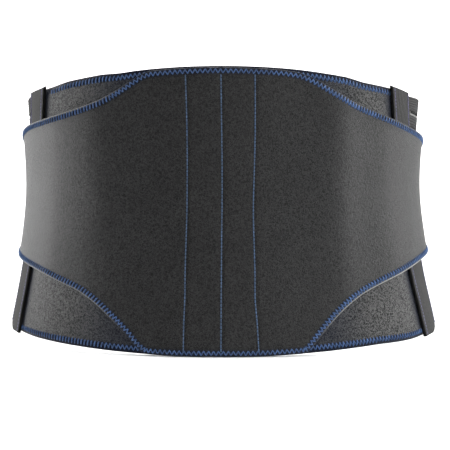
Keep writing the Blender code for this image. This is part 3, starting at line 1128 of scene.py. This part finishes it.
stripRuns = []
stripPieces, bindingAndShadowPieces = {}, {}
for side, label in sides:
    stripPieces[label] = makeStrip(side, label)
    keep(stripPieces[label], f"side_strip_{label.lower()}", slot="strip")
    bindingAndShadowPieces[label] = makeBindingAndShadow(side, label)
    keep(bindingAndShadowPieces[label])
    insets = sideStrip["stitchInsets"]
    for along, rise in zip((insets[0], stripDistance["width"] - insets[1]), sideStrip["stitchRises"]):
        top = float(beltTop(stripWay(side, form["beltHeight"], along)))
        bottom = float(beltBottom(stripWay(side, 0.0, along))) + rise
        heights = np.linspace(bottom, top, 120)
        path = np.column_stack([stripWay(side, heights, along) * meanGirth, heights])
        stripRuns += runningRuns(path, stripFace, fine)
stripStitches = threadPiece("stripStitches", stripRuns, fine["thread"], violetThread)
keep(stripStitches)
print("side strips made")


# Ribbed elastic with rows of slots
elastic = {
    "slotHeight": 0.0020,
    "slotPitch": 0.0128,
    "topSlotBelowEdge": 0.0235,
    "lowestSlot": 0.0160,
    "windows": 3,
    "tie": 0.0040,
    "endBand": 0.0080,
    "frontLength": 0.1480,
    "rib": 0.0021,
    "ribHeight": 0.00050,
    "ribPhases": (0.0, 0.12, 0.30, 0.50, 0.70, 0.88),
    "columnStep": 0.0034,
    "weave": 0.08,
    "weaveLength": 0.0011,
    "lipHighlight": 0.25,  # painted highlight on the edge of the rib under a slot
    "lipHighlightFrom": 0.2,
    "shade": 0.9,  # and the one over it gets a painted shadow
    "shadeTo": 0.6,
}


def elasticColumns(length):
    # shares of the length, and for each pair of neighbours whether a slot's window lies between them
    first = (stripDistance["width"] - stripDistance["onPanel"] - layers["gap"]) / length
    last = 1 - elastic["endBand"] / length
    step, tie = elastic["columnStep"] / length, elastic["tie"] / length
    window = (last - first - tie * (elastic["windows"] - 1)) / elastic["windows"]
    columns = list(evenly(0, first, step))
    isWindow = [False] * (len(columns) - 1)
    for k in range(elastic["windows"]):
        start = first + k * (window + tie)
        if k:
            columns.append(start)
            isWindow.append(False)
        cuts = evenly(start, start + window, step)[1:]
        columns += list(cuts)
        isWindow += [True] * len(cuts)
    ends = evenly(columns[-1], 1.0, step)[1:]
    return np.array(columns + list(ends)), np.array(isWindow + [False] * len(ends))


def elasticRows(bottoms, tops):
    # each row's heights, its place across its rib, whether a slot lies over it, and its painted highlight and
    # painted shadow beside the slots
    topSlot = form["beltHeight"] - elastic["topSlotBelowEdge"]
    count = int((topSlot - elastic["lowestSlot"]) / elastic["slotPitch"]) + 1
    half = elastic["slotHeight"] / 2
    edges = [bottoms]
    for k in reversed(range(count)):
        middle = topSlot - k * elastic["slotPitch"]
        edges += [np.full(len(bottoms), middle - half), np.full(len(bottoms), middle + half)]
    edges.append(tops)
    rows = []
    for k in range(0, len(edges), 2):
        low, high = edges[k], edges[k + 1]
        underSlot = k + 2 < len(edges)
        ribs = max(2, round(float(np.mean(high - low)) / elastic["rib"]))
        for rib in range(ribs):
            for phase in elastic["ribPhases"]:
                isLipHighlight = rib == ribs - 1 and phase > elastic["lipHighlightFrom"] and underSlot
                isShade = rib == 0 and phase < elastic["shadeTo"] and k > 0
                rows.append((lerp(low, high, (rib + phase) / ribs), phase, False, isLipHighlight, isShade))
        rows.append((high, 0.0, True, underSlot, False))
    return (np.array(values) for values in zip(*rows))


def makeElastic(side, label):
    seamAt = stripDistance["onPanel"] + layers["gap"]
    startWay = float(stripEdge(form["waistHeight"], seamAt))
    length = float(halfGirth(form["waistHeight"])) * (1 - startWay) - elastic["frontLength"] - layers["gap"]
    columns, isWindow = elasticColumns(length)
    guess = side * (startWay + (1 - startWay) * 0.3 * columns)
    heights, phases, isSlot, isLipHighlight, isShade = elasticRows(beltBottom(guess), beltTop(guess))
    cut = isSlot[:-1, None] & isWindow[None]
    starts = stripEdge(heights, seamAt)
    ends = fromFront(elastic["frontLength"] + layers["gap"], heights)
    ways = side * lerp(starts, ends, columns[None])
    cord = np.sqrt(1 - (2 * phases[:, None] - 1) ** 2)
    weave = 1 + elastic["weave"] * np.sin(columns[None] * length / elastic["weaveLength"])
    valleyShade = elastic["ribHeight"] * (1 - cord * weave)
    inner = layers["panel"] - layers["elastic"] + valleyShade
    outer = layers["panel"] - valleyShade
    besideWindow = np.append(isWindow, False) | np.append(False, isWindow)
    # painted highlight on the rib's edge under each slot
    lipHighlight = elastic["lipHighlight"] * isLipHighlight[:, None] * besideWindow[None]
    # painted shade in the valleys between the ribs, and painted shadow on the rib over each slot
    paintedShade = np.maximum(1 - cord**2, elastic["shade"] * isShade[:, None] * besideWindow[None])
    return wrapGrid(f"elasticSide{label}", ways, heights, inner, outer, (elasticWeave,) * 3, paintedShade, lipHighlight, cut)


elasticPieces = {}
for side, label in sides:
    elasticPieces[label] = makeElastic(side, label)
    keep(elasticPieces[label], f"elastic_side_{label.lower()}", slot="elastic")
print("elastic sides made")


# Front ends of the inner belt, closed over each other
frontPanel = {
    "length": 0.1480,
    "overlap": 0.0450,
    "ramp": 0.0260,
    "rampPast": 0.004,
    "corner": 0.0200,
    "stitchShade": (0.0038, 0.0018),
    "cutPale": 0.3,
    "stitchesFrom": 0.002,
}


def rightClimb(way):
    top = fromFront(frontPanel["overlap"] + frontPanel["rampPast"], form["waistHeight"])
    start = fromFront(frontPanel["overlap"] + frontPanel["ramp"], form["waistHeight"])
    return overHook * ease((np.abs(way) - start) / (top - start))


def flatFront(way):
    return 0.0 * way


def frontEdges(distances):
    # distances run on from the elastic, so the free end is last
    total = frontPanel["length"] + frontPanel["overlap"]
    back = frontPanel["length"] - distances
    tops = beltTop(fromFront(back, form["beltHeight"]))
    bottoms = beltBottom(fromFront(back, 0.0))
    toEnd = total - distances
    lows = roundOff(bottoms, tops, frontPanel["corner"], toEnd)
    highs = roundOff(tops, bottoms, frontPanel["corner"], toEnd)
    return lows, highs, toEnd


def makeFront(side, label, climb):
    total = frontPanel["length"] + frontPanel["overlap"]
    turns = cornerTurns(frontPanel["corner"], 24)
    distances = apart(np.concatenate([rimColumns(0, total, 0, 1), total - turns]))
    distances[-1] = total
    lows, highs, toEnd = frontEdges(distances)
    heights, toEdge = sheetRows(lows, highs, np.gradient(lows, distances), np.gradient(highs, distances))
    toEdge = np.minimum(toEdge, toEnd)
    ways = fromFront(frontPanel["length"] - distances[None], heights)
    inner = climb(ways) + rimRounding(toEdge)
    outer = climb(ways) + panelThickness(toEdge) - rimRounding(toEdge)
    # painted shade on the cloth round the edge's stitches
    paintedShade = 1 - after(toEdge, *frontPanel["stitchShade"])
    faces = (outerFabric, lining, cutEdge)
    pale = frontPanel["cutPale"]
    return wrapGrid(f"frontPanel{label}", side * ways, heights, inner, outer, faces, paintedShade, pale)


def frontOutline(side):
    total, corner = frontPanel["length"] + frontPanel["overlap"], frontPanel["corner"]
    along = np.linspace(frontPanel["stitchesFrom"], total - corner, 200)
    distances = np.concatenate([along, (total - cornerTurns(corner, 40)[::-1])[1:]])
    lows, highs, _ = frontEdges(distances)
    low, high = (edgePath(fromFront(frontPanel["length"] - distances, edge), edge) for edge in (lows, highs))
    path = np.concatenate([low, high[::-1]])
    return path if side > 0 else (path * [-1, 1])[::-1]


frontRuns = []
frontPieces = {}
for (side, label), climb in zip(sides, (flatFront, rightClimb)):
    frontPieces[label] = makeFront(side, label, climb)
    keep(frontPieces[label], f"front_panel_{label.lower()}", slot="neoprene")
    outline = frontOutline(side)
    frontRuns.append(zigzagRun(outline, lambda w, h, e, c=climb: c(w) + panelThickness(e)))
    if label == "Left":
        frontRuns.append(zigzagRun(outline, lambda w, h, e, c=climb: c(w), -1))
frontZigzag = threadPiece("frontZigzag", frontRuns, zigzag["thread"], blueThread)
keep(frontZigzag)
print("front panels made")

# Woven tape over the joints between the sheets, inside and at the front
seamTape = {
    "width": 0.0140,
    "thickness": 0.0006,
    "clear": 0.0002,
    "stitchInset": 0.0022,
    "stitchEnds": 0.0020,
    "endInset": 0.0006,
    "lowAt": 0.01,  # the heights at which its ends are placed along the belt
    "highAt": 0.19,
}


def panelJoin(height, along=0.0):
    return stripEdge(height, stripDistance["onPanel"] + layers["gap"] / 2 + along)


def frontJoin(height, along=0.0):
    return fromFront(elastic["frontLength"] + layers["gap"] / 2 - along, height)


def makeTape(name, side, join, base, outwards):
    across = np.linspace(-0.5, 0.5, 9) * seamTape["width"]
    tops = beltTop(side * join(seamTape["highAt"], across)) - seamTape["endInset"]
    bottoms = beltBottom(side * join(seamTape["lowAt"], across)) + seamTape["endInset"]
    heights = lerp(bottoms, tops, np.linspace(0, 1, 51)[:, None])
    toEdge = np.minimum(seamTape["width"] / 2 - np.abs(across), np.minimum(heights - bottoms, tops - heights))
    near = 0.5 * rimRounding(toEdge)
    low = base + outwards * seamTape["clear"] + 0.0 * heights
    high = low + outwards * (seamTape["thickness"] - near)
    ways = side * join(heights, across)
    inner, outer = (low, high) if outwards > 0 else (high, low)
    return wrapGrid(name, ways, heights, inner, outer, (tapeWeave,) * 3)


def tapeFace(way, height, toEdge):
    return layers["panel"] + seamTape["clear"] + seamTape["thickness"] + 0.0 * way


def tapeInside(way, height, toEdge):
    return 0.0 * way - seamTape["clear"] - seamTape["thickness"]


def tapeRuns(side, join, face, outwards):
    runs = []
    for along in (-1, 1):
        at = along * (seamTape["width"] / 2 - seamTape["stitchInset"])
        low = float(beltBottom(side * join(seamTape["lowAt"], at))) + seamTape["stitchEnds"]
        high = float(beltTop(side * join(seamTape["highAt"], at))) - seamTape["stitchEnds"]
        heights = np.linspace(low, high, 90)
        path = np.column_stack([side * join(heights, at) * meanGirth, heights])
        runs += runningRuns(path, face, fine, outwards)
    return runs


tapePieces = []
stitchedRuns = []
for side, label in sides:
    tapePieces.append([
        makeTape(f"panelTape{label}", side, panelJoin, 0.0, -1),
        makeTape(f"frontTapeInside{label}", side, frontJoin, 0.0, -1),
        makeTape(f"frontTapeOutside{label}", side, frontJoin, layers["panel"], 1),
    ])
    for piece in tapePieces[-1]:
        keep(piece)
    stitchedRuns += tapeRuns(side, panelJoin, tapeInside, -1)
    stitchedRuns += tapeRuns(side, frontJoin, tapeInside, -1)
    stitchedRuns += tapeRuns(side, frontJoin, tapeFace, 1)
tapeStitches = threadPiece("tapeStitches", stitchedRuns, fine["thread"], darkThread)
keep(tapeStitches)

# Box stitching that holds the hook pads to the strap ends and to the right front end
padStitching = {
    "strapFrom": 0.0860,
    "strapTo": 0.1260,
    "strapInset": 0.0170,
    "frontFrom": 0.0020,
    "frontTo": 0.0410,
    "frontInset": 0.0195,
}


def boxPath(start, end, low, high):
    # start and end are distances from the middle of the front
    corners = np.array([(start, low), (end, low), (end, high), (start, high), (start, low)])
    parts = [np.linspace(a, b, 60)[:-1] for a, b in zip(corners[:-1], corners[1:])]
    path = np.concatenate(parts + [corners[-1:]])
    path[:, 0] = fromFront(path[:, 0], path[:, 1]) * meanGirth
    return path


padRuns = []
for side in (-1, 1):
    middle = float(fromFront((padStitching["strapFrom"] + padStitching["strapTo"]) / 2, form["waistHeight"]))
    low = float(outerBottom(np.array([side * middle]))[0]) + padStitching["strapInset"]
    high = float(outerTop(np.array([side * middle]))[0]) - padStitching["strapInset"]
    path = boxPath(padStitching["strapFrom"], padStitching["strapTo"], low, high)
    padRuns += runningRuns(path * [side, 1], outerFace, fine)
inset = padStitching["frontInset"]
path = boxPath(-padStitching["frontFrom"], -padStitching["frontTo"], inset, front["height"] - inset)
padRuns += runningRuns(path, lambda w, h, e: rightClimb(w) + panelThickness(e), fine)
padStitches = threadPiece("padStitches", padRuns, fine["thread"], darkThread)
keep(padStitches)
print("seam tapes and pad stitching made")

# The hook pads keep the CAD's shape
for node in ("front_hook", "strap_hook_left", "strap_hook_right"):
    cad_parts[node].data.materials.clear()
    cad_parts[node].data.materials.append(hookTape)


# Floor and backdrop in one sweep
studio = {
    "floorFront": -1.8,
    "wallAt": 2.2,
    "cove": 1.2,
    "wallTop": 4.0,
    "halfWidth": 5.0,
    "paper": {"rough": 0.9, "sheen": 0.0, "gloss": 0.1},
    "paperShade": grey(0.93),
    "ambient": 0.06,
}


def makeSweep():
    sweep = bmesh.new()
    left = sweep.verts.new((-studio["halfWidth"], studio["floorFront"], 0))
    right = sweep.verts.new((studio["halfWidth"], studio["floorFront"], 0))
    edge = sweep.edges.new((left, right))
    cove, turns = studio["cove"], np.linspace(0, math.pi / 2, 25)
    steps = [(0, studio["wallAt"] - cove - studio["floorFront"], 0)]
    for a, b in zip(turns[:-1], turns[1:]):
        steps.append((0, cove * (math.sin(b) - math.sin(a)), cove * (math.cos(a) - math.cos(b))))
    steps.append((0, 0, studio["wallTop"] - cove))
    for step in steps:
        made = bmesh.ops.extrude_edge_only(sweep, edges=[edge])["geom"]
        verts = [item for item in made if isinstance(item, bmesh.types.BMVert)]
        edge = next(item for item in made if isinstance(item, bmesh.types.BMEdge))
        bmesh.ops.translate(sweep, verts=verts, vec=step)
    for face in sweep.faces:
        face.smooth = True
    bmesh.ops.recalc_face_normals(sweep, faces=sweep.faces[:])
    mesh = bpy.data.meshes.new("sweep")
    sweep.to_mesh(mesh)
    sweep.free()
    material, tree, shader = newMaterial("sweepPaper", studio["paper"])
    shader.inputs["Base Color"].default_value = studio["paperShade"]
    mesh.materials.append(material)
    return addObject("sweep", mesh)


makeSweep()

world = bpy.data.worlds.new("studio")
world.use_nodes = True
world.node_tree.nodes["Background"].inputs["Color"].default_value = (1, 1, 1, 1)
world.node_tree.nodes["Background"].inputs["Strength"].default_value = studio["ambient"]
bpy.context.scene.world = world

# Softboxes: where each stands (turned from the camera's side, out, up), where it points, its size, the
# spread of its light and its power
sideBox = {"out": 1.2, "up": 0.25, "aim": (0, 0, 0.10), "size": (0.45, 1.0), "spread": 180}
lights = {
    "leftBack": {**sideBox, "turn": -116},
    "leftBox": {**sideBox, "turn": -98},
    "rightFill": {**sideBox, "turn": 70},
    "rightBox": {**sideBox, "turn": 90},
    "rightBack": {**sideBox, "turn": 110},
    "frontBox": {"turn": 10, "out": 1.6, "up": 0.35, "aim": (0, 0, 0.10), "size": (0.45, 0.6), "spread": 40},
    "ringFill": {"turn": 180, "out": 0.0, "up": 0.30, "aim": (0, 0, 0), "size": (0.20, 0.12), "spread": 110},
    "floorWash": {"turn": 180, "out": 0.5, "up": 2.4, "aim": (0, 0.5, 0), "size": (2.4, 3.0), "spread": 36},
    "wallWash": {"turn": 180, "out": 0.9, "up": 1.9, "aim": (0, 2.2, 0.4), "size": (2.2, 0.5), "spread": 120},
}
powers = {
    "leftBack": 9,
    "leftBox": 22,
    "rightFill": 13,
    "rightBox": 15,
    "rightBack": 10,
    "frontBox": 1.1,
    "ringFill": 0.7,
    "floorWash": 16,
    "wallWash": 34,
}


def addLight(name, light):
    data = bpy.data.lights.new(name, "AREA")
    data.shape = "RECTANGLE"
    data.size, data.size_y = light["size"]
    data.spread = math.radians(light["spread"])
    data.energy = powers[name]
    lamp = addObject(name, data)
    turn = math.radians(light["turn"])
    lamp.location = (light["out"] * math.sin(turn), -light["out"] * math.cos(turn), light["up"])
    aim = mathutils.Vector(light["aim"]) - lamp.location
    lamp.rotation_euler = aim.to_track_quat("-Z", "Y").to_euler()
    lamp.visible_camera = False


for name, light in lights.items():
    addLight(name, light)

camera = {"distance": 0.725, "height": 0.0939, "turn": 1.2, "across": 0.002, "focal": 66.55, "sensor": 36.0}
cameraData = bpy.data.cameras.new("camera")
cameraData.sensor_width = camera["sensor"]
cameraData.lens = camera["focal"]
cameraData.clip_start = 0.01
cameraObject = addObject("camera", cameraData)
turn = math.radians(camera["turn"])
cameraObject.location = (
    camera["across"] * math.cos(turn) + camera["distance"] * math.sin(turn),
    camera["across"] * math.sin(turn) - camera["distance"] * math.cos(turn) + form["forward"],
    camera["height"],
)
cameraObject.rotation_euler = (math.pi / 2, 0, turn)
bpy.context.scene.camera = cameraObject
bpy.context.scene.view_settings.view_transform = "Standard"
print("stage, lights and camera set")
